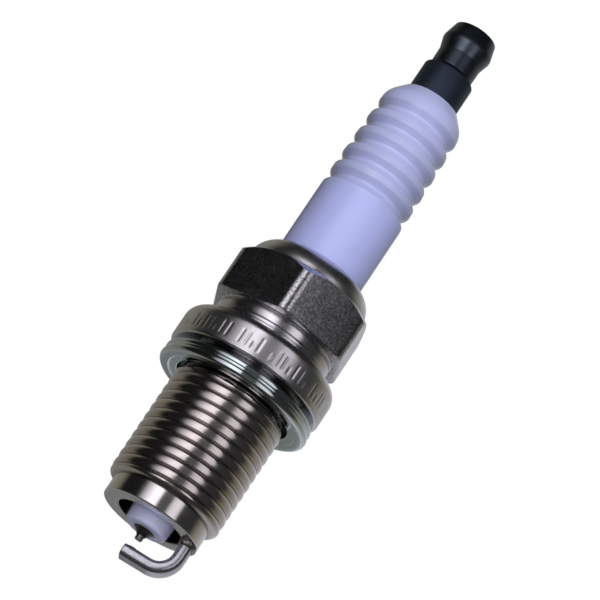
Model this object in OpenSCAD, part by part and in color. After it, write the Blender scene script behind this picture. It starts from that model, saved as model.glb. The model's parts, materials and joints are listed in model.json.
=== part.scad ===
// Resistor spark plug with an M14 x 1.25 thread, 19 mm reach and a 16 mm hexagon.
// Z is the plug's axis and runs from the electrodes to the terminal. Z = 0 is the shell's seat face,
// +X points to the foot of the ground strap.

/* [Shell] */
// Reach, from the seat face to the shell's end
reach = 19; // [18.5:0.1:19.5]
// Radius of the thread's crests
thread_r = 6.95; // [6.9:0.01:7]
// Distance from crest to crest
thread_pitch = 1.25; // [1.2:0.05:1.3]
// Depth of the thread's grooves
thread_depth = 0.74; // [0.6:0.01:0.76]
// Depth of the first crest below the seat face
first_crest = 3.3; // [3.2:0.05:3.5]
// Radius of the plain end below the thread
end_r = 6; // [5.9:0.05:6.1]
// Length of the plain end below the thread
end_h = 2.3; // [2:0.1:2.4]
// Radius of the seat flange
flange_r = 9.5; // [9.3:0.05:9.6]
// Height of the seat flange
flange_h = 4.35; // [4.2:0.05:4.5]
// Radius of the waist between flange and hexagon
waist_r = 7.12; // [7.12:0.02:7.2]
// Hexagon across its flats
hex_af = 16; // [15.9:0.05:16.1]
// Radius of the hexagon's six edges
hex_edge_r = 1.5; // [1.2:0.1:1.6]
// Bottom of the hexagon
hex_low = 6.8; // [6.7:0.05:6.9]
// Top of the hexagon
hex_top = 12.9; // [12.8:0.05:12.9]
// Turn of the hexagon about the axis
hex_turn = 2.5; // [0:0.5:30]
// Radius of the bore around the insulator's nose
nose_bore_r = 4.05; // [4:0.05:4.1]

/* [Insulator] */
// Radius of the insulator's barrel
barrel_r = 5.2; // [5.1:0.05:5.2]
// Top of the insulator
insulator_top = 39.9; // [39.8:0.05:40]
// Number of grooves around the barrel
rib_count = 5; // [4:1:5]
// Distance between the grooves
rib_pitch = 2.52; // [2.45:0.01:2.55]
// Height of the lowest groove's middle
rib_low = 25.9; // [25.8:0.05:26]
// Depth of the grooves
rib_depth = 0.6; // [0.4:0.05:0.65]
// How far the firing nose stands out of the shell
nose_out = 1.2; // [1:0.1:1.4]
// Radius of the nose at its tip
nose_r = 2.5; // [2.45:0.05:2.6]

/* [Terminal] */
// Radius of the stud's base
stud_base_r = 3.1; // [3:0.05:3.15]
// Height of the stud's base, with its chamfer
stud_base_h = 4.3; // [4.25:0.05:4.4]
// Radius of the stud's M4 end
stud_r = 2; // [1.98:0.01:2]
// Running clearance of the nut around the stud
nut_gap = 0.03; // [0.02:0.01:0.05]
// Length of the terminal nut
nut_h = 5.55; // [5.5:0.05:5.65]
// Radius of the terminal nut's neck
nut_neck_r = 2.6; // [2.55:0.05:2.65]
// Widest radius of the terminal nut's head
nut_head_r = 3.05; // [3:0.05:3.15]

/* [Electrodes] */
// Radius of the centre electrode
electrode_r = 1.25; // [1.2:0.05:1.25]
// Radius of the fine wire
wire_r = 0.46; // [0.4:0.01:0.48]
// How far the wire's end stands out of the nose
wire_out = 1.25; // [1.2:0.05:1.4]
// Spark gap
spark_gap = 1.05; // [1:0.05:1.15]
// Width of the ground strap
strap_w = 2.6; // [2.4:0.1:2.8]
// Thickness of the ground strap
strap_t = 1.5; // [1.4:0.05:1.55]
// Distance of the strap's foot from the axis
strap_foot_x = 4.9; // [4.86:0.02:5]
// How far the strap's tip reaches past the axis
strap_past = 0.8; // [0.7:0.1:1.1]
// Outer radius of the strap's bend
strap_bend_r = 3.2; // [3:0.1:3.4]
// Height of the precious-metal pad on the strap
pad_h = 0.15; // [0.15:0.05:0.3]

/* [Gasket] */
// Outer radius of the gasket
gasket_r = 9.45; // [9.3:0.05:9.5]
// Sheet thickness of the folded gasket
gasket_t = 0.4; // [0.35:0.01:0.42]
// Lower face of the gasket as it hangs free
gasket_low = -2.5; // [-2.55:0.05:-2.45]

/* [Hidden] */
$fn = 96;

// Clearance between sealed pieces that do not move
fit_gap = 0.02;

// Thread
flank = tan(30);
crest_w = 0.16;
groove_w = thread_pitch - crest_w;
root_r = thread_r - thread_depth;
relief_z = -first_crest + crest_w / 2 + thread_depth * flank;
lead_h = 0.75;
end_chamfer = 0.1;
end_z = -reach + end_h;
lead_z = end_z + lead_h;
groove_count = ceil((-first_crest - lead_z) / thread_pitch) + 1;

// Flange and waist
flange_edge = 0.25;
shoulder_r = 1.4;
waist_fillet = flange_r - shoulder_r - waist_r;
waist_top = 12.5;
bead_r = 0.75;
bead_out = 0.23;
bead_x = waist_r + bead_out - bead_r;
bead_z = 6.1;

// Ball that rounds off the hexagon's top, sloping this many degrees where it meets the flats
hex_slope = 40;
hex_ball_r = hex_af / 2 / sin(hex_slope);
hex_ball_z = hex_top - hex_ball_r * cos(hex_slope);

// Crimped lip over the packing
lip_x = 4.6;
lip_out = 2.85;
lip_in = 1.55;
lip_z = 13;
lip_in_z = 13.3;
lip_bore = 5.3;

// Steps of the shell's bore and of the insulator inside it
cavity_r = 6.15;
body_bore_r = 4.75;
throat_r = 3.85;
throat_low = -9.2;
ledge_z = -7;
cone_z = 2.9;
collar_r = 6.05;
body_r = 4.6;
collar_low = 3;
collar_top = 11.15;
collar_edge = 0.2;
nose_root_r = 3.55;
nose_root_z = -9.4;
step_top = -6.4;
step_low = step_top - (body_r - nose_root_r);

// Packing
packing_wire = 0.42;
packing_x = (barrel_r + cavity_r) / 2;
lower_ring_z = collar_top + packing_wire + fit_gap;
upper_ring_z = lip_in_z + 0.2;

// Insulator
shoulder_arc = 2.2;
shoulder_tilt = 35;
rib_taper = 0.25;
top_r = barrel_r - rib_taper;
top_end_r = 3.5;
nose_z = -reach - nose_out;
nose_edge = 0.6;
groove_circle = 0.8;
stem_bore_r = 2.1;
electrode_bore_r = 1.32;
seat_z = -4.6;

// Terminal
stud_z = insulator_top + fit_gap;
nut_z = stud_z + stud_base_h + fit_gap;
nut_neck_h = 0.37 * nut_h;
nut_flare_h = 0.62 * nut_h;
nut_land_h = 0.3;
nut_top_r = 2.6;
nut_floor = 0.8;
stud_top = nut_z + nut_h - 1;
stud_chamfer = 0.3;
stud_pitch = 0.7;
stud_groove = 0.4;
stud_mouth_w = 0.46;
stud_root_w = 0.08;
stem_r = 1.9;
stem_low = 12;
stem_end_r = 1.5;
stem_end_h = 3.4;
base_chamfer_r = stud_base_r - nut_neck_r;
base_chamfer_h = 0.8;

// Filling of the insulator's bore, from the electrode's head up
fill_r = stem_bore_r - fit_gap;
head_r = 1.95;
head_top = -3.2;
core_r = 0.75;
core_low = -reach;
lower_glass_top = 0.6;
resistor_top = 7.6;

// Firing end
cone_r = 0.72;
cone_h = 0.42;
weld_top_r = 0.54;
weld_h = 0.3;
wire_z = nose_z - wire_out;
strap_in_z = wire_z - spark_gap - pad_h;
strap_low = strap_in_z - strap_t;
strap_bend_x = strap_foot_x + strap_t / 2 - strap_bend_r;
pad_r = 0.55;
pad_sunk = 0.1;

// Gasket
gasket_wall = 0.25;
gasket_bore = thread_r + 0.2;
gasket_catch = 6.62;
gasket_lip = 0.5;

// Points of an arc from angle a to angle b about (x, z)
function arc(x, z, r, a, b, n = 8) =
    [for (i = [0:n]) let (t = a + (b - a) * i / n) [x + r * cos(t), z + r * sin(t)]];

// Ring or tube with a rectangular section
module tube(r_in, r_out, z_low, z_high) {
    rotate_extrude()
        translate([r_in, z_low])
            square([r_out - r_in, z_high - z_low]);
}

// Rod along the axis
module rod(r, z_low, z_high) {
    translate([0, 0, z_low])
        cylinder(r = r, h = z_high - z_low);
}

// Ring of round wire
module wire_ring(x, z, r) {
    rotate_extrude()
        translate([x, z])
            circle(r = r);
}

// Section of the shell's outside, without its hexagon
module shell_outside() {
    difference() {
        polygon(concat(
            [[0, -reach], [end_r - end_chamfer, -reach], [end_r, -reach + end_chamfer], [end_r, end_z]],
            [[thread_r, lead_z], [thread_r, relief_z - thread_depth * flank]],
            [[root_r, relief_z], [root_r, 0]],
            [[flange_r - flange_edge, 0], [flange_r, flange_edge]],
            arc(flange_r - shoulder_r, flange_h - shoulder_r, shoulder_r, 0, 90),
            arc(waist_r + waist_fillet, flange_h + waist_fillet, waist_fillet, 270, 180, 6),
            [[waist_r, waist_top], [lip_x + lip_out, waist_top]],
            arc(lip_x, lip_z, lip_out, 0, acos((lip_bore - lip_x) / lip_out), 10),
            [[0, lip_z + lip_out * sin(acos((lip_bore - lip_x) / lip_out))]]
        ));
        for (i = [0:groove_count - 1])
            translate([thread_r, -first_crest - (i + 0.5) * thread_pitch])
                thread_groove();
    }
    translate([bead_x, bead_z])
        circle(r = bead_r);
}

// Section of one groove of the thread, with its mouth at X = 0
module thread_groove() {
    mouth = groove_w / 2;
    root = mouth - thread_depth * flank;
    over = 0.1;
    polygon([
        [over, -mouth - over * flank], [over, mouth + over * flank],
        [-thread_depth, root], [-thread_depth, -root],
    ]);
}

// Section of the shell's stepped bore
module shell_inside() {
    lip_end = acos((lip_bore - lip_x) / lip_in);
    polygon(concat(
        [[0, -reach - 1], [nose_bore_r, -reach - 1], [nose_bore_r, throat_low]],
        [[throat_r, throat_low + 0.2], [throat_r, ledge_z - (body_bore_r - throat_r)]],
        [[body_bore_r, ledge_z], [body_bore_r, cone_z]],
        [[cavity_r, cone_z + cavity_r - body_bore_r]],
        arc(lip_x, lip_in_z, lip_in, 0, lip_end),
        [[lip_bore, lip_z + lip_out + 1], [0, lip_z + lip_out + 1]]
    ));
}

// Flat outline of the hexagon with rounded edges
module hex_outline() {
    edge_x = (hex_af / 2 - hex_edge_r) / cos(30);
    polygon([
        for (a = [0:60:300])
            for (p = arc(edge_x * cos(a), edge_x * sin(a), hex_edge_r, a - 30, a + 30, 6)) p
    ]);
}

// Hexagon with its top corners rounded off
module hexagon() {
    intersection() {
        translate([0, 0, hex_low])
            rotate([0, 0, hex_turn + 30])
                linear_extrude(hex_top - hex_low)
                    hex_outline();
        translate([0, 0, hex_ball_z])
            sphere(r = hex_ball_r);
    }
}

module shell() {
    color("#b9b4ae")
        difference() {
            union() {
                rotate_extrude()
                    shell_outside();
                hexagon();
            }
            rotate_extrude()
                shell_inside();
        }
}

// One sheet folded into a C with two rolled lips outside; its upper leaf catches above the thread
module gasket() {
    upper_lip = 0.42;
    lip_centre = gasket_r - gasket_lip;
    upper_z = gasket_low + 2 * gasket_lip + upper_lip;
    top = upper_z + upper_lip;
    color("#9fb2bd")
        rotate_extrude()
            difference() {
                union() {
                    translate([gasket_bore, gasket_low])
                        square([lip_centre - gasket_bore, 2 * gasket_lip]);
                    translate([lip_centre, gasket_low + gasket_lip])
                        circle(r = gasket_lip);
                    translate([gasket_catch, upper_z - upper_lip])
                        square([lip_centre - gasket_catch, 2 * upper_lip]);
                    translate([lip_centre, upper_z])
                        circle(r = upper_lip);
                    translate([lip_centre, gasket_low + gasket_lip])
                        square([gasket_wall, upper_z - gasket_low - gasket_lip]);
                }
                translate([gasket_catch - 1, gasket_low + gasket_t])
                    square([lip_centre - gasket_catch + 1, top - gasket_low - 2 * gasket_t]);
            }
}

// Radius of the barrel beside groove i; the barrel narrows a little towards its top
function rib_crest_r(i) = barrel_r - rib_taper * max(0, i - 1) / (rib_count - 1);

// Section of the insulator's outside
module insulator_outside() {
    bend_r = top_r - shoulder_arc * (1 - cos(shoulder_tilt));
    bend_z = insulator_top - (bend_r - top_end_r) / tan(shoulder_tilt);
    arc_z = bend_z - shoulder_arc * sin(shoulder_tilt);
    difference() {
        polygon(concat(
            [[0, nose_z]],
            arc(nose_r - nose_edge, nose_z + nose_edge, nose_edge, 270, 360, 3),
            [[nose_root_r - 0.1, nose_root_z], [nose_root_r, step_low], [body_r, step_top]],
            [[body_r, collar_low], [collar_r, collar_low + collar_r - body_r]],
            [[collar_r, collar_top - collar_edge], [collar_r - collar_edge, collar_top]],
            [[barrel_r, collar_top], [barrel_r, rib_low + rib_pitch], [top_r, arc_z]],
            arc(top_r - shoulder_arc, arc_z, shoulder_arc, 0, shoulder_tilt, 5),
            [[top_end_r, insulator_top], [0, insulator_top]]
        ));
        for (i = [0:rib_count - 1])
            translate([rib_crest_r(i) - rib_depth + groove_circle, rib_low + i * rib_pitch])
                circle(r = groove_circle);
    }
}

module insulator() {
    color("#e8e8ff")
        rotate_extrude()
            difference() {
                insulator_outside();
                polygon([
                    [-1, nose_z - 1], [electrode_bore_r, nose_z - 1],
                    [electrode_bore_r, seat_z - (stem_bore_r - electrode_bore_r)],
                    [stem_bore_r, seat_z], [stem_bore_r, insulator_top + 1], [-1, insulator_top + 1],
                ]);
            }
}

// Conical ring between the insulator's step and the shell's ledge
module seat_washer() {
    low_x = throat_r + 0.05;
    high_x = body_r - 0.05;
    shell_side = ledge_z - body_bore_r + 0.05;
    step_side = step_top - body_r - 0.05;
    color("#8a7f74")
        rotate_extrude()
            polygon([
                [low_x, low_x + shell_side], [high_x, high_x + shell_side],
                [high_x, high_x + step_side], [low_x, low_x + step_side],
            ]);
}

module lower_packing_ring() {
    color("#7d7a78")
        wire_ring(packing_x, lower_ring_z, packing_wire);
}

module talc_fill() {
    color("#f2ede0")
        tube(
            barrel_r + fit_gap, cavity_r - fit_gap,
            lower_ring_z + packing_wire + fit_gap, upper_ring_z - packing_wire - fit_gap
        );
}

module upper_packing_ring() {
    color("#7d7a78")
        wire_ring(packing_x, upper_ring_z, packing_wire);
}

// Section of one groove of the stud's thread, with its mouth at X = 0
module stud_groove_section() {
    over = 0.1;
    mouth = stud_mouth_w / 2 + over * flank;
    root = stud_root_w / 2;
    polygon([[over, -mouth], [over, mouth], [-stud_groove, root], [-stud_groove, -root]]);
}

// Base, threaded end and the stem that runs down the insulator's bore
module terminal_stud() {
    color("#20243a")
        rotate_extrude()
            difference() {
                polygon([
                    [0, stem_low - stem_end_h], [stem_end_r, stem_low - stem_end_h],
                    [stem_end_r, stem_low], [stem_r, stem_low], [stem_r, stud_z],
                    [stud_base_r, stud_z], [stud_base_r, stud_z + stud_base_h - base_chamfer_h],
                    [stud_base_r - base_chamfer_r, stud_z + stud_base_h], [stud_r, stud_z + stud_base_h],
                    [stud_r, stud_top - stud_chamfer], [stud_r - stud_chamfer, stud_top], [0, stud_top],
                ]);
                for (z = [nut_z + stud_pitch:stud_pitch:stud_top - stud_pitch])
                    translate([stud_r, z])
                        stud_groove_section();
            }
}

// Snap terminal that screws on the stud, closed at its top
module terminal_nut() {
    color("#1b1e2e")
        rotate_extrude()
            difference() {
                polygon([
                    [0, nut_z], [nut_neck_r, nut_z], [nut_neck_r, nut_z + nut_neck_h],
                    [nut_head_r, nut_z + nut_flare_h], [nut_head_r, nut_z + nut_flare_h + nut_land_h],
                    [nut_top_r, nut_z + nut_h], [0, nut_z + nut_h],
                ]);
                translate([-1, nut_z - 1])
                    square([1 + stud_r + nut_gap, 1 + nut_h - nut_floor]);
            }
}

module upper_glass_seal() {
    color("#3c4a44")
        difference() {
            rod(fill_r, resistor_top + fit_gap, stem_low - fit_gap);
            rod(stem_end_r + fit_gap, stem_low - stem_end_h - fit_gap, stem_low + 1);
        }
}

module resistor() {
    color("#4a3f38")
        rod(fill_r, lower_glass_top + fit_gap, resistor_top);
}

module lower_glass_seal() {
    color("#3c4a44")
        rod(fill_r, head_top + fit_gap, lower_glass_top);
}

// Nickel jacket with a blind bore for the copper and a small one for the wire
module centre_electrode() {
    seat_low = seat_z - (stem_bore_r - electrode_r) + 0.1;
    seat_high = seat_low + head_r - electrode_r;
    color("#4a4744")
        difference() {
            rotate_extrude()
                polygon([
                    [0, nose_z - cone_h], [cone_r, nose_z - cone_h], [electrode_r, nose_z],
                    [electrode_r, seat_low], [head_r, seat_high], [head_r, head_top - 0.4],
                    [head_r - 0.4, head_top], [0, head_top],
                ]);
            rod(core_r, core_low, head_top + 1);
            rod(wire_r + fit_gap / 2, nose_z - cone_h - 1, nose_z + 0.2);
        }
}

module copper_core() {
    color("#b87333")
        rod(core_r - fit_gap, core_low + fit_gap, head_top - 0.1);
}

module centre_tip() {
    color("#5a5a60")
        rod(wire_r, wire_z, nose_z + 0.1);
}

// Fused ring that joins the wire to the cone
module tip_weld() {
    low = nose_z - cone_h - weld_h;
    high = nose_z - cone_h - fit_gap / 2;
    inner = wire_r + fit_gap / 2;
    color("#3a3836")
        rotate_extrude()
            polygon([[inner, low], [weld_top_r, low], [cone_r - 0.02, high], [inner, high]]);
}

// Side view of the strap
module strap_side() {
    bend_z = strap_low + strap_bend_r;
    translate([strap_foot_x - strap_t / 2, bend_z])
        square([strap_t, -reach - fit_gap - bend_z]);
    translate([-strap_past, strap_low])
        square([strap_bend_x + strap_past, strap_t]);
    intersection() {
        translate([strap_bend_x, bend_z])
            difference() {
                circle(r = strap_bend_r);
                circle(r = strap_bend_r - strap_t);
            }
        translate([strap_bend_x, strap_low])
            square([strap_bend_r, strap_bend_r]);
    }
}

// Bent bar with a bored pocket for the pad
module ground_electrode() {
    color("#a9a6b0")
        difference() {
            translate([0, strap_w / 2, 0])
                rotate([90, 0, 0])
                    linear_extrude(strap_w)
                        strap_side();
            rod(pad_r + fit_gap, strap_in_z - pad_sunk, strap_in_z + 0.5);
        }
}

module ground_pad() {
    color("#c9c9d2")
        rod(pad_r, strap_in_z - pad_sunk + fit_gap, strap_in_z + pad_h);
}

// Bead squeezed out around the strap's foot
module ground_weld() {
    weld_out = 0.3;
    weld_tall = 0.55;
    low = -reach - fit_gap - weld_tall;
    color("#6f6660")
        difference() {
            translate([strap_foot_x - strap_t / 2 - weld_out, -strap_w / 2 - weld_out, low])
                cube([strap_t + 2 * weld_out, strap_w + 2 * weld_out, weld_tall]);
            translate([strap_foot_x - strap_t / 2 - fit_gap, -strap_w / 2 - fit_gap, low - 1])
                cube([strap_t + 2 * fit_gap, strap_w + 2 * fit_gap, weld_tall + 2]);
        }
}

shell();
gasket();
insulator();
seat_washer();
lower_packing_ring();
talc_fill();
upper_packing_ring();
terminal_stud();
terminal_nut();
upper_glass_seal();
resistor();
lower_glass_seal();
centre_electrode();
copper_core();
centre_tip();
tip_weld();
ground_electrode();
ground_pad();
ground_weld();
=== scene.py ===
"""Spark plug: visible meshes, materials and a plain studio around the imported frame.

Lengths are millimetres until object_from() scales a mesh to metres. Z is the plug's axis.
"""

import json
from math import acos, ceil, cos, floor, pi, radians, sin, sqrt, tan

import bmesh
import bpy
from mathutils import Matrix, Vector


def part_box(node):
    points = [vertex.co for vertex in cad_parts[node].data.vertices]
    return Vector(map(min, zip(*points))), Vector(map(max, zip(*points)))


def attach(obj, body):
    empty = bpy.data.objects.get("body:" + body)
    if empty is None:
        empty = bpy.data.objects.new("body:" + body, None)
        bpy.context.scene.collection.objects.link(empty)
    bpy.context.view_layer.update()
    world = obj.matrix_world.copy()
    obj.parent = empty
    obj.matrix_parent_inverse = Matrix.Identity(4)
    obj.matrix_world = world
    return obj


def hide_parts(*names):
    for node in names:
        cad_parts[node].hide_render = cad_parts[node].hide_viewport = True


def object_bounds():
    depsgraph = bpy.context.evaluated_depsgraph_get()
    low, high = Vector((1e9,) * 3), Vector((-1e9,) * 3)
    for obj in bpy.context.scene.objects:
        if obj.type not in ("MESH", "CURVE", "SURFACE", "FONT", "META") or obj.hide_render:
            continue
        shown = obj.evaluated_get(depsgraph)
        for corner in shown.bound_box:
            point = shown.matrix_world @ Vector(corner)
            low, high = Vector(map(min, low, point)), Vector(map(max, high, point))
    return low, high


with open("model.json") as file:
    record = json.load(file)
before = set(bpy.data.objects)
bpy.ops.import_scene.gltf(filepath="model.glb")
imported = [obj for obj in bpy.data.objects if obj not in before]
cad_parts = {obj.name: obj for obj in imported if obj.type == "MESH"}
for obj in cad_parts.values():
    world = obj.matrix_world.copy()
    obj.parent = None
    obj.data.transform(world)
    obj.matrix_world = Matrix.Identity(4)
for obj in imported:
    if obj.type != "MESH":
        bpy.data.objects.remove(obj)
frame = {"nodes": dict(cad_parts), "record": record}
cad_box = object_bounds()
MM = 0.001


def low(node):
    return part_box(node)[0] / MM


def high(node):
    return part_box(node)[1] / MM


# ---------------------------------------------------------------- dimensions

SEAT_Z = 0.0
END_Z = low("shell").z
FLANGE_R = high("shell").x
LIP_TOP = high("shell").z
THREAD_R = 6.95
ROOT_R = 6.21
NECK_R = 6.5
THREAD_PITCH = 1.25
CREST_Z = -3.3
HELIX_TURN = 270
CREST_ROUND = 1.1
CREST_SPREAD = radians(32)
GROOVE_SLOPE = 4.5
END_R = 6.0
END_H = 2.3
LEAD_H = 0.75
END_TOP = END_Z + END_H
END_BORE_R = 4.05
RELIEF_Z = -2.6
RUN_OUT_H = 0.15
WAIST_R = 7.12
FLANGE_H = 4.35
SHOULDER_R = 1.4
BEAD_Z = 6.1
HEX_HALF = 8.0
HEX_EDGE_R = 1.5
HEX_LOW = 6.8
HEX_TOP = 12.9
HEX_SLOPE = radians(40)
HEX_TURN = 2.5
LIP_OUTER_R = 7.45

BARREL_R = 5.2
INSULATOR_TOP = high("insulator").z
NOSE_Z = low("insulator").z
RIB_LOW = 25.9
RIB_PITCH = 2.52
RIB_COUNT = 5
RIB_DEPTH = 0.6
RIB_TAPER = 0.25
TOP_SHOULDER_H = 1.8
STEM_BORE_R = 2.1
JACKET_BORE_R = 1.32

NUT_Z = low("terminal_nut").z
NUT_TOP = high("terminal_nut").z
STUD_TOP = high("terminal_stud").z
STUD_LOW = low("terminal_stud").z
STUD_BASE_R = high("terminal_stud").x
STUD_R = 2.0
STUD_ROOT_R = 1.6
STUD_PITCH = 0.7

GASKET_LOW = low("gasket").z
GASKET_TOP = high("gasket").z
GASKET_R = high("gasket").x

STRAP_LOW = low("ground_electrode").z
STRAP_TIP_X = low("ground_electrode").x
STRAP_HALF_W = high("ground_electrode").y
STRAP_T = 1.5
STRAP_CORNER = 0.62
STRAP_FOOT_X = high("ground_electrode").x - STRAP_T / 2
STRAP_BEND_R = 3.2
WIRE_R = high("centre_tip").x
WIRE_HOLE_R = WIRE_R + 0.01
WIRE_Z = low("centre_tip").z

COLUMNS = 540
CAMERA_TURN = radians(8.5)
CAMERA_DROP = radians(19)
CAMERA_ROLL = radians(56.16)
CAMERA_ANGLE = radians(7.3)
CAMERA_DISTANCE = 521
AIM_Z = 11.785
AIM_SIDE = 0.12
FRONT = Vector((sin(CAMERA_TURN), -cos(CAMERA_TURN), 0))
SIDE = Vector((cos(CAMERA_TURN), sin(CAMERA_TURN), 0))
UP = Vector((0, 0, 1))


# ---------------------------------------------------------------- mesh helpers

def arc(x, z, r, start, end, steps=8):
    """Points of an arc about (x, z), angles in degrees."""
    turns = [radians(start + (end - start) * k / steps) for k in range(steps + 1)]
    return [(x + r * cos(t), z + r * sin(t)) for t in turns]


def degrees_of(cosine):
    return acos(cosine) * 180 / pi


def rounded(corners, closed=False):
    """Outline through corners (x, z, fillet radius), each corner with its fillet as an arc."""
    outline = []
    count = len(corners)
    for i, (x, z, radius) in enumerate(corners):
        here = Vector((x, z))
        if radius == 0 or (not closed and i in (0, count - 1)):
            outline.append((x, z))
            continue
        back = (Vector(corners[i - 1][:2]) - here).normalized()
        ahead = (Vector(corners[(i + 1) % count][:2]) - here).normalized()
        half = back.angle(ahead) / 2
        centre = here + (back + ahead).normalized() * (radius / sin(half))
        first = here + back * (radius / tan(half)) - centre
        last = here + ahead * (radius / tan(half)) - centre
        turn = pi - 2 * half
        side = 1 if first.x * last.y - first.y * last.x > 0 else -1
        steps = max(2, ceil(turn / radians(11)))
        for k in range(steps + 1):
            a = side * turn * k / steps
            spun = Vector((first.x * cos(a) - first.y * sin(a), first.x * sin(a) + first.y * cos(a)))
            outline.append(tuple(centre + spun))
    return outline


def angles(count=COLUMNS):
    """Column angles. They start at the hexagon's turn, so its corners fall on columns."""
    return [radians(HEX_TURN) + 2 * pi * i / count for i in range(count)]


def ring(r, z, count=COLUMNS):
    """Row of points round the axis. r and z are numbers or functions of the angle."""
    row = []
    for t in angles(count):
        radius = r(t) if callable(r) else r
        height = z(t) if callable(z) else z
        row.append(Vector((radius * cos(t), radius * sin(t), height)))
    return row


def rings(outline, count=COLUMNS):
    """One row for each outline point; a point on the axis is a row of one."""
    return [[Vector((0, 0, z))] if r < 1e-6 else ring(r, z, count) for r, z in outline]


def skin(rows, closed=False):
    """Vertices and faces of a skin through rows of points."""
    vertices = [p for row in rows for p in row]
    starts = [sum(len(row) for row in rows[:k]) for k in range(len(rows))]
    pairs = [(k, k + 1) for k in range(len(rows) - 1)] + ([(len(rows) - 1, 0)] if closed else [])
    faces = []
    for a, b in pairs:
        wide = max(len(rows[a]), len(rows[b]))
        for i in range(wide):
            j = (i + 1) % wide
            corners = [
                starts[a] + i % len(rows[a]), starts[a] + j % len(rows[a]),
                starts[b] + j % len(rows[b]), starts[b] + i % len(rows[b]),
            ]
            corners = list(dict.fromkeys(corners))
            if len(corners) > 2:
                faces.append(corners)
    return vertices, faces


def thread_section(crest_r, root_r, pitch, crest_round, spread=radians(60), flank=tan(radians(60))):
    """Radius of a thread with rounded crests and steep flanks, against the share of its pitch."""
    arc_x = crest_round * sin(spread)
    arc_drop = crest_round * (1 - cos(spread))

    def radius(share):
        x = abs((share + 0.5) % 1 - 0.5) * pitch
        if x < arc_x:
            return crest_r - crest_round + sqrt(crest_round ** 2 - x * x)
        return max(root_r, crest_r - arc_drop - (x - arc_x) * flank)

    return radius


def thread_skin(z_low, z_high, pitch, crest_z, section, limit, count=COLUMNS, per_pitch=14):
    """Skin of a right-hand thread between two plain rings. limit(z) is its least and greatest radius."""
    first = floor((z_low - crest_z) / pitch) - 2
    last = ceil((z_high - crest_z) / pitch) + 2
    shares = [first + k / per_pitch for k in range((last - first) * per_pitch + 1)]
    vertices, faces = [], []
    for t in angles(count):
        rise = (t - radians(HEX_TURN)) / (2 * pi)
        for share in shares:
            z = min(z_high, max(z_low, crest_z + (share + rise) * pitch))
            least, greatest = limit(z)
            r = max(least, min(section(share), greatest))
            vertices.append(Vector((r * cos(t), r * sin(t), z)))
    rows = len(shares)
    for i in range(count):
        seam = per_pitch if i == count - 1 else 0
        beside = (i + 1) % count * rows
        for j in range(rows - 1 - seam):
            faces.append([i * rows + j, beside + j + seam, beside + j + seam + 1, i * rows + j + 1])
    return vertices, faces


def join(*skins):
    """Several skins as one list of vertices and faces."""
    vertices, faces = [], []
    for more, polygons in skins:
        start = len(vertices)
        vertices = vertices + more
        faces = faces + [[k + start for k in face] for face in polygons]
    return vertices, faces


def object_from(name, mesh_data, body, node, material, sharp=38):
    """Closed mesh object in metres that rides on a body and stands for its CAD node."""
    bm = bmesh.new()
    points = [bm.verts.new(p) for p in mesh_data[0]]
    for face in mesh_data[1]:
        bm.faces.new([points[k] for k in face])
    bmesh.ops.remove_doubles(bm, verts=bm.verts, dist=2e-4)
    bmesh.ops.recalc_face_normals(bm, faces=bm.faces)
    bmesh.ops.scale(bm, vec=Vector((MM, MM, MM)), verts=bm.verts)
    mesh = bpy.data.meshes.new(name)
    bm.to_mesh(mesh)
    bm.free()
    mesh.shade_smooth()
    mesh.set_sharp_from_angle(angle=radians(sharp))
    mesh.materials.append(material)
    made = bpy.data.objects.new(name, mesh)
    bpy.context.scene.collection.objects.link(made)
    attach(made, body)
    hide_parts(node)
    return made


def slot_of(node):
    return next(part["material_slot"] for part in frame["record"]["subparts"] if part["node"] == node)


# ---------------------------------------------------------------- material helpers

class Nodes:
    """Small helper that adds and links shader nodes."""

    def __init__(self, tree):
        self.tree = tree
        self.tree.nodes.clear()

    def add(self, kind, values=None, **settings):
        node = self.tree.nodes.new(kind)
        for key, value in settings.items():
            setattr(node, key, value)
        for key, value in (values or {}).items():
            if isinstance(value, bpy.types.NodeSocket):
                self.tree.links.new(value, node.inputs[key])
            else:
                node.inputs[key].default_value = value
        return node

    def math(self, operation, *values):
        values = dict(enumerate(values))
        return self.add("ShaderNodeMath", values, operation=operation).outputs[0]

    def dot(self, one, two):
        return self.add("ShaderNodeVectorMath", {0: one, 1: two}, operation="DOT_PRODUCT").outputs["Value"]

    def noise(self, scale, stretch=(1, 1, 1), detail=4, roughness=0.55):
        """Noise over the object, scale in features per metre."""
        place = self.add("ShaderNodeTexCoord").outputs["Object"]
        spread = self.add("ShaderNodeMapping", {"Vector": place, "Scale": stretch}).outputs[0]
        values = {"Vector": spread, "Scale": scale, "Detail": detail, "Roughness": roughness}
        return self.add("ShaderNodeTexNoise", values).outputs["Fac"]

    def ramp(self, factor, stops):
        """Colour ramp; stops are (place, colour or grey)."""
        node = self.add("ShaderNodeValToRGB", {"Fac": factor})
        points = node.color_ramp
        while len(points.elements) < len(stops):
            points.elements.new(0.5)
        for element, (place, colour) in zip(points.elements, stops):
            element.position = place
            shade = colour if isinstance(colour, tuple) else (colour,) * 3
            element.color = (*shade, 1)
        return node.outputs["Color"]

    def mix(self, factor, one, two):
        values = {0: factor, 6: one, 7: two}
        return self.add("ShaderNodeMix", values, data_type="RGBA").outputs[2]

    def bump(self, height, depth, strength=1.0, normal=None):
        """Bump of a depth in millimetres."""
        values = {"Height": height, "Distance": depth * MM, "Strength": strength}
        if normal is not None:
            values["Normal"] = normal
        return self.add("ShaderNodeBump", values).outputs["Normal"]

    def principled(self, values):
        """Material's surface shader and output."""
        shader = self.add("ShaderNodeBsdfPrincipled", values)
        self.add("ShaderNodeOutputMaterial", {"Surface": shader.outputs[0]})


def new_material(name):
    """Material with an empty node tree, and the helper that fills it."""
    made = bpy.data.materials.new(name)
    made.use_nodes = True
    return made, Nodes(made.node_tree)


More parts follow.
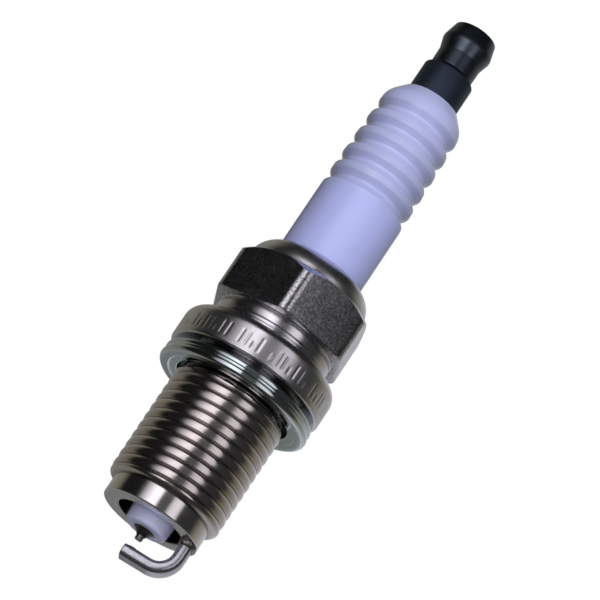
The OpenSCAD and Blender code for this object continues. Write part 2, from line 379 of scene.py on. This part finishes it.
def surface(name, colours, metallic, rough, mottle=350, grain=4000, grain_depth=0.002,
            rings_scale=0, ring_depth=0.0):
    """Principled material: two colours mottled together, uneven roughness, fine grain and, where
    rings_scale is set, turning lines round the axis."""
    made, nodes = new_material(name)
    blotch = nodes.noise(mottle)
    colour = nodes.ramp(blotch, [(0.35, colours[0]), (0.65, colours[1])])
    fine = nodes.noise(grain, detail=3)
    roughness = nodes.ramp(nodes.noise(mottle * 2.3), [(0.3, rough[0]), (0.7, rough[1])])
    normal = nodes.bump(fine, grain_depth)
    if rings_scale:
        lines = nodes.noise(rings_scale, stretch=(0.02, 0.02, 1), detail=5, roughness=0.7)
        normal = nodes.bump(lines, ring_depth, normal=normal)
    nodes.principled({
        "Base Color": colour, "Metallic": metallic, "Roughness": roughness, "Normal": normal,
    })
    return made


# ---------------------------------------------------------------- materials

def nickel_plate():
    """Bright plating: sharp on turned parts, satin on the flange's rim, sandy on the hexagon, with painted
    shade darkening the thread's grooves and the inside of the end's bore."""
    made, nodes = new_material("nickel_plate")
    place = nodes.add("ShaderNodeTexCoord").outputs["Object"]
    xyz = nodes.add("ShaderNodeSeparateXYZ", {0: place}).outputs
    height = xyz["Z"]
    across = nodes.add("ShaderNodeCombineXYZ", {"X": xyz["X"], "Y": xyz["Y"]}).outputs[0]
    radius = nodes.add("ShaderNodeVectorMath", {0: across}, operation="LENGTH").outputs["Value"]
    radius_share = nodes.math("DIVIDE", radius, FLANGE_R * MM)
    span = LIP_TOP - END_Z
    share = nodes.math("MULTIPLY_ADD", height, 1 / (span * MM), -END_Z / span)

    def zones(stops):
        return nodes.ramp(share, [((z - END_Z) / span, value) for z, value in stops])

    on_hexagon = zones([(HEX_LOW - 0.1, 0.0), (HEX_LOW, 1.0), (HEX_TOP - 0.1, 1.0), (HEX_TOP, 0.0)])
    finish = zones([
        (END_TOP - 0.2, 0.12), (END_TOP + 0.1, 0.14), (SEAT_Z, 0.14), (0.4, 0.27), (3.0, 0.27),
        (3.8, 0.17), (HEX_LOW - 0.1, 0.18), (HEX_LOW, 0.2), (HEX_TOP - 0.1, 0.2), (HEX_TOP, 0.26),
    ])
    uneven = nodes.ramp(nodes.noise(900), [(0.3, 0.0), (0.7, 0.06)])
    roughness = nodes.math("ADD", finish, uneven)
    grain = nodes.noise(3600, detail=2)
    colour = zones([
        (END_TOP - 0.2, (0.72, 0.69, 0.70)), (END_TOP + 0.2, (0.60, 0.55, 0.55)),
        (SEAT_Z - 0.5, (0.60, 0.55, 0.54)), (SEAT_Z + 0.3, (0.63, 0.62, 0.66)),
        (FLANGE_H + 0.3, (0.70, 0.69, 0.73)), (LIP_TOP, (0.68, 0.68, 0.70)),
    ])
    sandy = nodes.ramp(grain, [(0.34, (0.28, 0.28, 0.30)), (0.66, (0.66, 0.65, 0.69))])
    colour = nodes.mix(on_hexagon, colour, sandy)
    on_thread = zones([(END_TOP - 0.1, 0.0), (END_TOP + 0.1, 1.0), (SEAT_Z - 0.2, 1.0), (SEAT_Z, 0.0)])
    # Painted shade: the colour is darkened towards the thread's roots and inside the end's bore, where
    # shade falls, and multiplied into the plating's colour below.
    grooves = nodes.ramp(radius_share, [(ROOT_R / FLANGE_R, 0.35), (6.65 / FLANGE_R, 1.0)])
    bore = nodes.ramp(radius_share, [(4.1 / FLANGE_R, 0.25), (4.3 / FLANGE_R, 1.0)])
    painted_recess_shade = nodes.mix(on_thread, bore, grooves)
    recess_shade_mix = {0: 1.0, 6: colour, 7: painted_recess_shade}
    colour = nodes.add("ShaderNodeMix", recess_shade_mix, data_type="RGBA", blend_type="MULTIPLY").outputs[2]
    sand = nodes.bump(grain, 0.004, on_hexagon)
    lines = nodes.noise(7000, stretch=(0.02, 0.02, 1), detail=4, roughness=0.7)
    normal = nodes.bump(lines, 0.0003, normal=sand)
    nodes.principled({"Base Color": colour, "Metallic": 1.0, "Roughness": roughness, "Normal": normal})
    return made


def glazed_alumina():
    """Bluish glaze above the seat, paler bare ceramic on the firing nose."""
    made, nodes = new_material("glazed_alumina")
    place = nodes.add("ShaderNodeTexCoord").outputs["Object"]
    height = nodes.add("ShaderNodeSeparateXYZ", {0: place}).outputs["Z"]
    span = INSULATOR_TOP - NOSE_Z
    share = nodes.math("MULTIPLY_ADD", height, 1 / (span * MM), -NOSE_Z / span)
    glazed = nodes.ramp(share, [(-NOSE_Z / span, 0.0), (-NOSE_Z / span + 0.02, 1.0)])
    cloud = nodes.noise(160)
    ribbed = nodes.ramp(share, [((24 - NOSE_Z) / span, 0.0), ((26 - NOSE_Z) / span, 1.0)])
    barrel = nodes.ramp(cloud, [(0.35, (0.49, 0.53, 0.98)), (0.65, (0.51, 0.55, 1.0))])
    ribs = nodes.ramp(cloud, [(0.35, (0.49, 0.53, 0.87)), (0.65, (0.53, 0.56, 0.91))])
    glaze = nodes.mix(ribbed, barrel, ribs)
    bare = nodes.ramp(cloud, [(0.35, (0.64, 0.66, 1.0)), (0.65, (0.70, 0.71, 1.0))])
    roughness = nodes.ramp(ribbed, [(0.0, 0.42), (1.0, 0.14)])
    nodes.principled({
        "Base Color": nodes.mix(glazed, bare, glaze), "Roughness": roughness, "IOR": 1.7,
        "Normal": nodes.bump(nodes.noise(900), 0.001),
    })
    return made


def make_materials():
    return {
        "nickel_plate": nickel_plate(),
        "zinc_plate": surface(
            "zinc_plate", [(0.55, 0.62, 0.65), (0.62, 0.69, 0.72)], 1.0, (0.07, 0.12),
            mottle=400, grain_depth=0.0005, rings_scale=5000, ring_depth=0.0004),
        "glazed_alumina": glazed_alumina(),
        "dark_base": surface(
            "dark_base", [(0.085, 0.115, 0.175), (0.10, 0.13, 0.195)], 1.0, (0.5, 0.6),
            mottle=300, grain_depth=0.001),
        "dark_terminal": surface(
            "dark_terminal", [(0.10, 0.125, 0.165), (0.13, 0.155, 0.20)], 1.0, (0.3, 0.4),
            mottle=400, grain_depth=0.001, rings_scale=4000, ring_depth=0.0005),
        "electrode_nickel": surface(
            "electrode_nickel", [(0.10, 0.095, 0.09), (0.16, 0.15, 0.145)], 1.0, (0.35, 0.5),
            mottle=1500, grain_depth=0.004),
        "fine_wire": surface(
            "fine_wire", [(0.20, 0.20, 0.21), (0.30, 0.30, 0.31)], 1.0, (0.3, 0.4), mottle=2500),
        "weld_metal": surface(
            "weld_metal", [(0.06, 0.055, 0.055), (0.12, 0.11, 0.11)], 1.0, (0.4, 0.6),
            mottle=3000, grain_depth=0.006),
        "strap_nickel": surface(
            "strap_nickel", [(0.50, 0.50, 0.57), (0.58, 0.58, 0.65)], 1.0, (0.26, 0.38),
            mottle=900, grain=7000, grain_depth=0.003),
        "fine_pad": surface(
            "fine_pad", [(0.60, 0.60, 0.62), (0.68, 0.68, 0.70)], 1.0, (0.2, 0.3), mottle=2500),
        "strap_weld": surface(
            "strap_weld", [(0.20, 0.19, 0.19), (0.34, 0.33, 0.34)], 1.0, (0.3, 0.5),
            mottle=2200, grain_depth=0.004),
        "packing_steel": surface(
            "packing_steel", [(0.30, 0.29, 0.28), (0.38, 0.37, 0.36)], 1.0, (0.35, 0.5)),
        "talc": surface(
            "talc", [(0.72, 0.69, 0.61), (0.80, 0.77, 0.70)], 0.0, (0.8, 0.95),
            mottle=1500, grain_depth=0.02),
        "seal_glass": surface(
            "seal_glass", [(0.045, 0.07, 0.06), (0.07, 0.10, 0.085)], 0.0, (0.3, 0.5), mottle=1200),
        "resistor_mass": surface(
            "resistor_mass", [(0.05, 0.04, 0.035), (0.09, 0.075, 0.06)], 0.0, (0.6, 0.8), mottle=1800),
        "copper": surface(
            "copper", [(0.70, 0.33, 0.20), (0.80, 0.42, 0.27)], 1.0, (0.25, 0.4)),
    }


# ---------------------------------------------------------------- shell

def hex_radius(t):
    """Distance from the axis to the hexagon's rounded outline at angle t."""
    from_corner = (t - radians(HEX_TURN)) % radians(60) - radians(30)
    centre = (HEX_HALF - HEX_EDGE_R) / cos(radians(30))
    edge_x = centre + HEX_EDGE_R * cos(radians(30))
    if abs(from_corner) * edge_x > HEX_EDGE_R / 2:
        return HEX_HALF / cos(radians(30) - abs(from_corner))
    across = centre * sin(from_corner)
    return centre * cos(from_corner) + sqrt(HEX_EDGE_R ** 2 - across ** 2)


def hexagon_rows():
    """Rows up the hexagon: underside, side, rounded-off top corners and top face."""
    edge, side_rows, top_rows = 0.25, 9, 8
    ball_r = HEX_HALF / sin(HEX_SLOPE)
    ball_z = HEX_TOP - ball_r * cos(HEX_SLOPE)
    inner = HEX_HALF - 0.08
    side_low = HEX_LOW + edge

    def ball(r):
        return min(HEX_TOP, ball_z + sqrt(ball_r ** 2 - r * r))

    rows = [ring(WAIST_R + 0.1, HEX_LOW)]
    for k in range(4):
        a = radians(30 * k)
        rows.append(ring(lambda t: hex_radius(t) - edge * (1 - sin(a)), HEX_LOW + edge * (1 - cos(a))))
    for k in range(1, side_rows):
        share = k / side_rows
        rows.append(ring(hex_radius, lambda t: side_low + (ball(hex_radius(t)) - side_low) * share))
    for k in range(top_rows + 1):
        def radius(t):
            return hex_radius(t) + (inner - hex_radius(t)) * k / top_rows
        rows.append(ring(radius, lambda t: ball(radius(t))))
    return rows


def stamp_depth(t, z):
    """Depth of the flange's stamped tally bars, which carry no text. Every third bar is short."""
    bar_every, bar_half, bar_low, bar_high, shorter = 0.82, 0.11, 0.8, 2.5, 0.8
    edge, depth, group, gaps = 0.1, 0.05, 13, (4, 12)
    along = (t % (2 * pi)) * FLANGE_R
    number = floor(along / bar_every)
    if number % group in gaps:
        return 0.0
    x = abs(along % bar_every - bar_every / 2)
    top = bar_high if number % 3 else bar_high - shorter
    inside = min(bar_half - x, z - bar_low, top - z)
    return depth * min(1.0, max(0.0, inside / edge + 0.5))


def shell_thread_skin():
    """Shell's thread, from its domed lead-in above the smooth end to its run-out at the neck."""
    neck_slope, run_out_slope = 1.5, 1.7

    def lead_radius(z):
        short = 1 - min(1.0, (z - END_TOP) / LEAD_H)
        return END_R + (THREAD_R - END_R) * sqrt(1 - short * short)

    def limit(z):
        below_neck = max(0.0, RELIEF_Z - RUN_OUT_H - z)
        greatest = min(lead_radius(z), NECK_R + run_out_slope * below_neck)
        return NECK_R - neck_slope * below_neck, greatest

    first_crest = CREST_Z + THREAD_PITCH * (HEX_TURN + HELIX_TURN) / 360
    section = thread_section(THREAD_R, ROOT_R, THREAD_PITCH, CREST_ROUND, CREST_SPREAD, GROOVE_SLOPE)
    return thread_skin(END_TOP, RELIEF_Z, THREAD_PITCH, first_crest, section, limit)


def waist_outline():
    """Waist between flange and hexagon: a fillet, a small bead and a broad one."""
    fillet = 0.5
    small_r, small_z, small_in = 0.42, BEAD_Z - 0.91, 0.25
    broad_r, broad_in = 1.4, 1.28
    outline = arc(WAIST_R + fillet, FLANGE_H + fillet, fillet, 270, 180, 8)
    outline += arc(WAIST_R - small_in, small_z, small_r, -53, 53, 9)
    outline += arc(WAIST_R - broad_in, BEAD_Z, broad_r, -24, 24, 8)
    return outline + [(WAIST_R, HEX_LOW - 0.1)]


def lip_outline():
    """Crimped lip, over its top and back inside."""
    lip_x, outer_z, outer_r, inner_z, inner_r = 4.6, 13.0, 2.85, 13.3, 1.55
    foot = [(LIP_OUTER_R + 0.15, HEX_TOP), (LIP_OUTER_R + 0.03, HEX_TOP + 0.05)]
    return foot + arc(lip_x, outer_z, outer_r, 3, 75.8, 14) + arc(lip_x, inner_z, inner_r, 63, 0, 8)


def build_shell(material):
    band_low, band_high, band_steps = 0.5, FLANGE_H - SHOULDER_R, 20
    flange = rounded([
        (NECK_R, RELIEF_Z, 0), (NECK_R, SEAT_Z, 0.15), (FLANGE_R, SEAT_Z, 0.42),
        (FLANGE_R, band_low, 0),
    ])
    band = [band_low + (band_high - band_low) * k / band_steps for k in range(1, band_steps)]
    shoulder = arc(FLANGE_R - SHOULDER_R, band_high, SHOULDER_R, 0, 90, 10)
    bore = [(6.15, 4.3), (4.75, 2.9), (4.75, -7.0), (3.85, -7.9), (3.85, -9.0)]
    end = rounded([
        (END_BORE_R, -9.2, 0), (END_BORE_R, END_Z, 0.12), (END_R, END_Z, 0.16), (END_R, END_TOP, 0),
    ])
    rows = rings(flange)
    rows += [ring(lambda t: FLANGE_R - stamp_depth(t, z), z) for z in band]
    rows += rings(shoulder + waist_outline())
    rows += hexagon_rows()
    rows += rings(lip_outline() + bore + end)
    return object_from("shell_body", join(skin(rows), shell_thread_skin()), "plug", "shell", material)


# ---------------------------------------------------------------- insulator and terminal

def build_insulator(material):
    """Nose, collar, barrel and grooved top, hollow for the stem and the electrode."""
    slope, groove = 0.72, 0.14
    corners = [
        (JACKET_BORE_R, NOSE_Z, 0.05), (2.5, NOSE_Z, 0.45), (3.45, -9.4, 0.6), (3.55, -7.45, 0.2),
        (4.6, -6.4, 0.2), (4.6, 3.0, 0), (6.05, 4.45, 0.2), (6.05, 11.15, 0.2), (BARREL_R, 11.15, 0),
    ]
    for k in range(RIB_COUNT):
        z = RIB_LOW + k * RIB_PITCH
        crest_r = BARREL_R - RIB_TAPER * max(0, k - 1) / (RIB_COUNT - 1)
        floor_r = crest_r - RIB_DEPTH
        corners += [
            (crest_r, z - groove - slope, 0.25), (floor_r, z - groove, 0.3),
            (floor_r, z + groove, 0.3), (crest_r, z + groove + slope, 0.4),
        ]
    corners += [
        (BARREL_R - RIB_TAPER, INSULATOR_TOP - TOP_SHOULDER_H, 2.2), (3.5, INSULATOR_TOP, 0.15),
        (STEM_BORE_R, INSULATOR_TOP, 0), (STEM_BORE_R, -4.6, 0), (JACKET_BORE_R, -5.38, 0),
    ]
    rows = rings(rounded(corners, closed=True))
    return object_from("insulator_body", skin(rows, closed=True), "plug", "insulator", material)


def build_stud(material):
    """Dark base on the insulator, with the stem below it and the threaded stud above it."""
    gap, count, run_out_slope = 0.02, 120, 1.5
    base_low, base_top = INSULATOR_TOP + gap, NUT_Z - gap
    stem_low_r, stem_r, stem_step_z = 1.5, 1.9, 12
    thread_low, thread_high = base_top + 0.35, STUD_TOP - 0.4
    below = rounded([
        (0, STUD_LOW, 0), (stem_low_r, STUD_LOW, 0.15), (stem_low_r, stem_step_z, 0),
        (stem_r, stem_step_z, 0.1), (stem_r, base_low, 0), (STUD_BASE_R, base_low, 0.2),
        (STUD_BASE_R, base_top - 0.45, 0.2), (2.66, base_top, 0.08), (STUD_ROOT_R, base_top, 0.1),
        (STUD_ROOT_R, thread_low, 0),
    ])
    above = rounded([(STUD_ROOT_R, thread_high, 0), (STUD_ROOT_R, STUD_TOP, 0.15), (0, STUD_TOP, 0)])
    section = thread_section(STUD_R, STUD_ROOT_R, STUD_PITCH, 0.1)

    def limit(z):
        from_end = max(0.0, min(z - thread_low, thread_high - z))
        return 0.0, min(STUD_R, STUD_ROOT_R + run_out_slope * from_end)

    helix = thread_skin(thread_low, thread_high, STUD_PITCH, thread_low, section, limit, count, 12)
    data = join(skin(rings(below, count)), skin(rings(above, count)), helix)
    return object_from("terminal_base", data, "plug", "terminal_stud", material)


def build_nut(material):
    """Snap terminal: neck, flare, narrow band and tapered head over a blind bore."""
    height = NUT_TOP - NUT_Z
    bore_r, neck_r, top_r, head_r = 2.03, 2.62, 2.6, high("terminal_nut").x
    neck_z, flare_z = NUT_Z + 0.37 * height, NUT_Z + 0.62 * height
    band_h, roof = 0.3, 0.8
    corners = [
        (bore_r, NUT_Z, 0.12), (neck_r, NUT_Z, 0.1), (neck_r + 0.03, neck_z, 0.8),
        (head_r, flare_z, 0.15), (head_r, flare_z + band_h, 0.15), (top_r, NUT_TOP, 0.15), (0, NUT_TOP, 0),
    ]
    inside = [(0, NUT_TOP - roof), (bore_r, NUT_TOP - roof)]
    outline = rounded(corners + [(0, NUT_TOP, 0)])[:-1]
    start = rounded([inside[1] + (0,), corners[0], corners[1]])[1:-1]
    rows = rings(inside + start + outline[1:], 160)
    return object_from("terminal_nut_body", skin(rows), "nut", "terminal_nut", material)


# ---------------------------------------------------------------- gasket and electrodes

def build_gasket(material):
    """Folded ring with two rounded lips, a seam between them and a step in its lower leaf."""
    big, small, sheet, seam = 0.5, 0.42, 0.4, 0.25
    lip_x, back_x = GASKET_R - big, GASKET_R - big - 0.1
    big_z, small_z = GASKET_LOW + big, GASKET_TOP - small
    step, step_r, leaf_r, catch_r = 0.14, 8.15, 7.15, 6.62
    outline = rounded([
        (leaf_r, GASKET_LOW + sheet, 0), (leaf_r, GASKET_LOW + step, 0.1),
        (step_r - 0.05, GASKET_LOW + step, 0.07), (step_r + 0.05, GASKET_LOW, 0.1), (lip_x, GASKET_LOW, 0),
    ])
    outline += arc(lip_x, big_z, big, -90, degrees_of(seam / big), 14)
    outline += arc(lip_x, small_z, small, -degrees_of(seam / small), 90, 12)
    outline += rounded([
        (lip_x, GASKET_TOP, 0), (catch_r, GASKET_TOP, 0.12), (catch_r, GASKET_TOP - sheet, 0.12),
        (back_x, GASKET_TOP - sheet, 0), (back_x, GASKET_LOW + sheet, 0),
    ])
    return object_from("gasket_ring", skin(rings(outline), closed=True), "loose_gasket", "gasket", material)


def build_electrode(material):
    """Nickel jacket: cone below the nose, stem and head, hollow for the core and the wire."""
    cone_z = low("centre_electrode").z
    top = high("centre_electrode").z
    stem_r, head_r, core_r = 1.25, 1.95, 0.75
    corners = [
        (WIRE_HOLE_R, cone_z, 0), (0.72, cone_z, 0.06), (stem_r, NOSE_Z, 0.1), (stem_r, -5.35, 0),
        (head_r, -4.65, 0.1), (head_r, top - 0.4, 0.1), (head_r - 0.4, top, 0.1), (core_r, top, 0),
        (core_r, END_Z, 0), (WIRE_HOLE_R, END_Z - 0.1, 0),
    ]
    rows = rings(rounded(corners, closed=True), 96)
    return object_from(
        "centre_electrode_cone", skin(rows, closed=True), "plug", "centre_electrode", material)


def build_wire(material):
    top = high("centre_tip").z
    rows = rings(rounded([(0, top, 0), (WIRE_R, top, 0), (WIRE_R, WIRE_Z, 0.05), (0, WIRE_Z, 0)]), 64)
    return object_from("fine_wire_tip", skin(rows), "plug", "centre_tip", material)


def build_tip_weld(material):
    bottom, top = low("tip_weld").z, high("tip_weld").z
    outer = high("tip_weld").x
    middle = (bottom + top) / 2
    corners = [
        (WIRE_HOLE_R, bottom, 0), (0.54, bottom, 0.02), (0.61, middle, 0.1), (outer, top, 0.03),
        (WIRE_HOLE_R, top, 0),
    ]
    rows = rings(rounded(corners, closed=True), 64)
    return object_from("tip_weld_ring", skin(rows, closed=True), "plug", "tip_weld", material)


def bar_section(half_w, half_t, corner, steps=6):
    """Outline (across, through) of a bar with rounded corners."""
    points = []
    for k, (sx, sy) in enumerate([(1, 1), (-1, 1), (-1, -1), (1, -1)]):
        points += arc(sx * (half_w - corner), sy * (half_t - corner), corner, 90 * k, 90 * k + 90, steps)
    return points


def build_strap(material):
    """Bar bent under the centre electrode, with edges eased by drawing."""
    half_t = STRAP_T / 2
    middle_r = STRAP_BEND_R - half_t
    bend_x, bend_z = STRAP_FOOT_X - middle_r, STRAP_LOW + STRAP_BEND_R
    foot_z = high("ground_electrode").z
    ease, leg_steps, bend_steps, tip_steps = 0.14, 6, 20, 5
    stations = [
        (STRAP_FOOT_X, foot_z - (foot_z - bend_z) * k / leg_steps, 0.0) for k in range(leg_steps)
    ]
    for k in range(bend_steps + 1):
        a = radians(90 * k / bend_steps)
        stations.append((bend_x + middle_r * cos(a), bend_z - middle_r * sin(a), a))
    flat_z = STRAP_LOW + half_t
    flat_end = STRAP_TIP_X + ease
    for k in range(1, leg_steps + 1):
        stations.append((bend_x + (flat_end - bend_x) * k / leg_steps, flat_z, pi / 2))
    rows = []
    for x, z, a in stations:
        rows.append([
            Vector((x + through * cos(a), across, z - through * sin(a)))
            for across, through in bar_section(STRAP_HALF_W, half_t, STRAP_CORNER)
        ])
    for k in range(1, tip_steps + 1):
        a = radians(90 * k / tip_steps)
        inset = ease * (1 - cos(a))
        section = bar_section(STRAP_HALF_W - inset, half_t - inset, STRAP_CORNER - inset)
        rows.append([
            Vector((flat_end - ease * sin(a), across, flat_z - through)) for across, through in section
        ])
    vertices, faces = skin(rows)
    count = len(rows[0])
    faces.append(list(range(count)))
    faces.append([len(vertices) - 1 - k for k in range(count)])
    return object_from("ground_strap", (vertices, faces), "plug", "ground_electrode", material)


def build_pad(material):
    bottom, top, r = low("ground_pad").z, high("ground_pad").z, high("ground_pad").x
    rows = rings(rounded([(0, bottom, 0), (r, bottom, 0), (r, top, 0.06), (0, top, 0)]), 72)
    return object_from("strap_pad", skin(rows), "plug", "ground_pad", material)


def build_strap_weld(material):
    """Uneven bead squeezed out between the strap's foot and the shell's end."""
    bottom, top = low("ground_weld").z, high("ground_weld").z
    reach_out = high("ground_weld").y - STRAP_HALF_W
    levels, corner_steps, gap = 9, 8, 0.01
    wave_height, wave_step, wave_drift = 0.035, 0.9, 1.3
    rows = []
    for k in range(levels + 1):
        share = k / levels
        bulge = reach_out * sqrt(max(0.0, 1 - (share * 0.95) ** 2.2))
        z = top + (bottom - top) * share
        row = []
        section = bar_section(
            STRAP_HALF_W + bulge, STRAP_T / 2 + bulge, STRAP_CORNER + bulge, corner_steps)
        for i, (across, through) in enumerate(section):
            wave = 1 + wave_height * sin(i * wave_step + wave_drift * share) * (1 - share)
            row.append(Vector((STRAP_FOOT_X + through * wave, across * wave, z)))
        rows.append(row)
    for z in (bottom, top):
        section = bar_section(STRAP_HALF_W + gap, STRAP_T / 2 + gap, STRAP_CORNER, corner_steps)
        rows.append([Vector((STRAP_FOOT_X + through, across, z)) for across, through in section])
    return object_from(
        "strap_weld_bead", skin(rows, closed=True), "plug", "ground_weld", material)


# ---------------------------------------------------------------- studio

def build_camera():
    """Camera below the seat's level, rolled so that the plug lies along the frame's diagonal."""
    to_camera = FRONT * cos(CAMERA_DROP) - UP * sin(CAMERA_DROP)
    upright = FRONT * sin(CAMERA_DROP) + UP * cos(CAMERA_DROP)
    right = upright * cos(CAMERA_ROLL) + SIDE * sin(CAMERA_ROLL)
    above = upright * sin(CAMERA_ROLL) - SIDE * cos(CAMERA_ROLL)
    aim = (UP * AIM_Z + SIDE * AIM_SIDE) * MM
    camera = bpy.data.objects.new("camera", bpy.data.cameras.new("camera"))
    bpy.context.scene.collection.objects.link(camera)
    camera.data.angle = CAMERA_ANGLE
    camera.data.clip_start = 0.01
    turn = Matrix((right, above, to_camera)).transposed().to_4x4()
    camera.matrix_world = Matrix.Translation(aim + to_camera * CAMERA_DISTANCE * MM) @ turn
    bpy.context.scene.camera = camera


def build_floor():
    """Pale floor under the electrodes; it hides nothing from a camera below it."""
    half, z = 1.2, cad_box[0].z - 0.002
    mesh = bpy.data.meshes.new("floor")
    corners = [(-half, -half, z), (half, -half, z), (half, half, z), (-half, half, z)]
    mesh.from_pydata(corners, [], [(0, 1, 2, 3)])
    made, nodes = new_material("floor")
    shade = nodes.ramp(nodes.noise(6), [(0.3, 0.80), (0.7, 0.84)])
    matt = nodes.add("ShaderNodeBsdfDiffuse", {"Color": shade}).outputs[0]
    glow = nodes.add("ShaderNodeEmission", {"Color": shade, "Strength": 0.8}).outputs[0]
    pale = nodes.add("ShaderNodeAddShader", {0: matt, 1: glow}).outputs[0]
    clear = nodes.add("ShaderNodeBsdfTransparent").outputs[0]
    behind = nodes.add("ShaderNodeNewGeometry").outputs["Backfacing"]
    both = nodes.add("ShaderNodeMixShader", {0: behind, 1: pale, 2: clear}).outputs[0]
    nodes.add("ShaderNodeOutputMaterial", {"Surface": both})
    mesh.materials.append(made)
    floor_plane = bpy.data.objects.new("floor", mesh)
    bpy.context.scene.collection.objects.link(floor_plane)
    floor_plane.visible_glossy = False
    floor_plane.visible_diffuse = False
    floor_plane.visible_shadow = False


def build_light_panel(name, start, end, strength, fade):
    """Tall curved light panel between two azimuths from the camera, seen in reflections only.
    fade lists (share of the way from start to end, share of the strength)."""
    distance, z_low, z_high = 70 * MM, -45 * MM, 59 * MM
    vertices, faces = [], []
    steps = ceil((end - start) / 4)
    for k in range(steps + 1):
        a = radians(start + (end - start) * k / steps)
        foot = (FRONT * cos(a) + SIDE * sin(a)) * distance
        vertices += [foot + UP * z_low, foot + UP * z_high]
    for k in range(steps):
        faces.append((2 * k, 2 * k + 2, 2 * k + 3, 2 * k + 1))
    mesh = bpy.data.meshes.new(name)
    mesh.from_pydata(vertices, [], faces)
    made, nodes = new_material(name)
    place = nodes.add("ShaderNodeTexCoord").outputs["Object"]
    aside = nodes.dot(place, SIDE)
    left, right = distance * sin(radians(start)), distance * sin(radians(end))
    share = nodes.math("MULTIPLY_ADD", aside, 1 / (right - left), -left / (right - left))
    power = nodes.math("MULTIPLY", nodes.ramp(share, fade), strength)
    glow = nodes.add("ShaderNodeEmission", {"Color": (1.0, 0.965, 1.0, 1), "Strength": power})
    nodes.add("ShaderNodeOutputMaterial", {"Surface": glow.outputs[0]})
    mesh.materials.append(made)
    panel = bpy.data.objects.new(name, mesh)
    bpy.context.scene.collection.objects.link(panel)
    panel.visible_camera = False
    panel.visible_diffuse = False


def build_soft_light(name, front, side, rise, energy):
    """Soft light for the glaze; metal reflects the panels and the walls instead."""
    size, distance = 350 * MM, 500 * MM
    data = bpy.data.lights.new(name, "AREA")
    data.size = size
    data.energy = energy
    light = bpy.data.objects.new(name, data)
    bpy.context.scene.collection.objects.link(light)
    centre = (cad_box[0] + cad_box[1]) / 2
    towards = (FRONT * front + SIDE * side + UP * rise).normalized()
    light.location = centre + towards * distance
    light.rotation_mode = "QUATERNION"
    light.rotation_quaternion = towards.to_track_quat("Z", "Y")
    light.visible_glossy = False


def build_world():
    """White behind the object; what metal reflects is a soft studio, dark at the front's sides."""
    world = bpy.data.worlds.new("studio")
    bpy.context.scene.world = world
    world.use_nodes = True
    nodes = Nodes(world.node_tree)
    ray = nodes.add("ShaderNodeTexCoord").outputs["Generated"]
    height = nodes.add("ShaderNodeSeparateXYZ", {0: ray}).outputs["Z"]
    turn = nodes.math("ARCTAN2", nodes.dot(ray, SIDE), nodes.dot(ray, FRONT))
    azimuth = nodes.math("MULTIPLY_ADD", turn, 0.5 / pi, 0.5)

    def at(degrees):
        return 0.5 + degrees / 360

    walls = nodes.ramp(azimuth, [
        (at(-180), (0.20, 0.205, 0.20)), (at(-165), (0.30, 0.30, 0.28)),
        (at(-115), (0.21, 0.20, 0.155)), (at(-98), 0.012), (at(-58), 0.010), (at(-50), 0.10),
        (at(20), 0.09), (at(44), 0.035), (at(86), 0.035), (at(104), (0.24, 0.225, 0.165)),
        (at(145), (0.50, 0.50, 0.52)), (at(170), (0.60, 0.61, 0.64)), (at(180), (0.20, 0.205, 0.20)),
    ])
    slope = nodes.math("MULTIPLY_ADD", height, 0.5, 0.5)
    above = nodes.ramp(slope, [(0.82, 0.0), (0.91, 1.0)])
    below = nodes.ramp(slope, [(0.03, 1.0), (0.12, 0.0)])
    sky = nodes.mix(above, walls, (0.02, 0.02, 0.02, 1))
    sky = nodes.mix(below, sky, (0.04, 0.036, 0.03, 1))
    studio = nodes.add("ShaderNodeBackground", {"Color": sky, "Strength": 1.0}).outputs[0]
    white = nodes.add("ShaderNodeBackground", {"Color": (1, 1, 1, 1), "Strength": 1.0}).outputs[0]
    seen = nodes.add("ShaderNodeLightPath").outputs["Is Camera Ray"]
    both = nodes.add("ShaderNodeMixShader", {0: seen, 1: studio, 2: white}).outputs[0]
    nodes.add("ShaderNodeOutputWorld", {"Surface": both})


# ---------------------------------------------------------------- assembly

materials = make_materials()
build_shell(materials["nickel_plate"])
build_insulator(materials["glazed_alumina"])
build_stud(materials["dark_base"])
build_nut(materials["dark_terminal"])
build_gasket(materials["zinc_plate"])
build_electrode(materials["electrode_nickel"])
build_wire(materials["fine_wire"])
build_tip_weld(materials["weld_metal"])
build_strap(materials["strap_nickel"])
build_pad(materials["fine_pad"])
build_strap_weld(materials["strap_weld"])
for node, made in frame["nodes"].items():
    made.data.materials.clear()
    made.data.materials.append(materials[slot_of(node)])

build_camera()
build_floor()
build_light_panel("light_left", -48, -9, 1.6, [(0.0, 0.12), (0.3, 0.6), (0.6, 1.0), (1.0, 0.85)])
build_light_panel("light_right", 13, 40, 1.0, [(0.0, 0.3), (0.3, 0.9), (0.75, 1.0), (1.0, 0.5)])
build_soft_light("key_light", 1.0, -0.03, 0.35, 2.15)
build_soft_light("low_light", 1.0, 0.0, -0.4, 1.2)
build_soft_light("back_light", -1.0, 0.0, 0.3, 1.6)
build_world()
bpy.context.scene.view_settings.view_transform = "Standard"
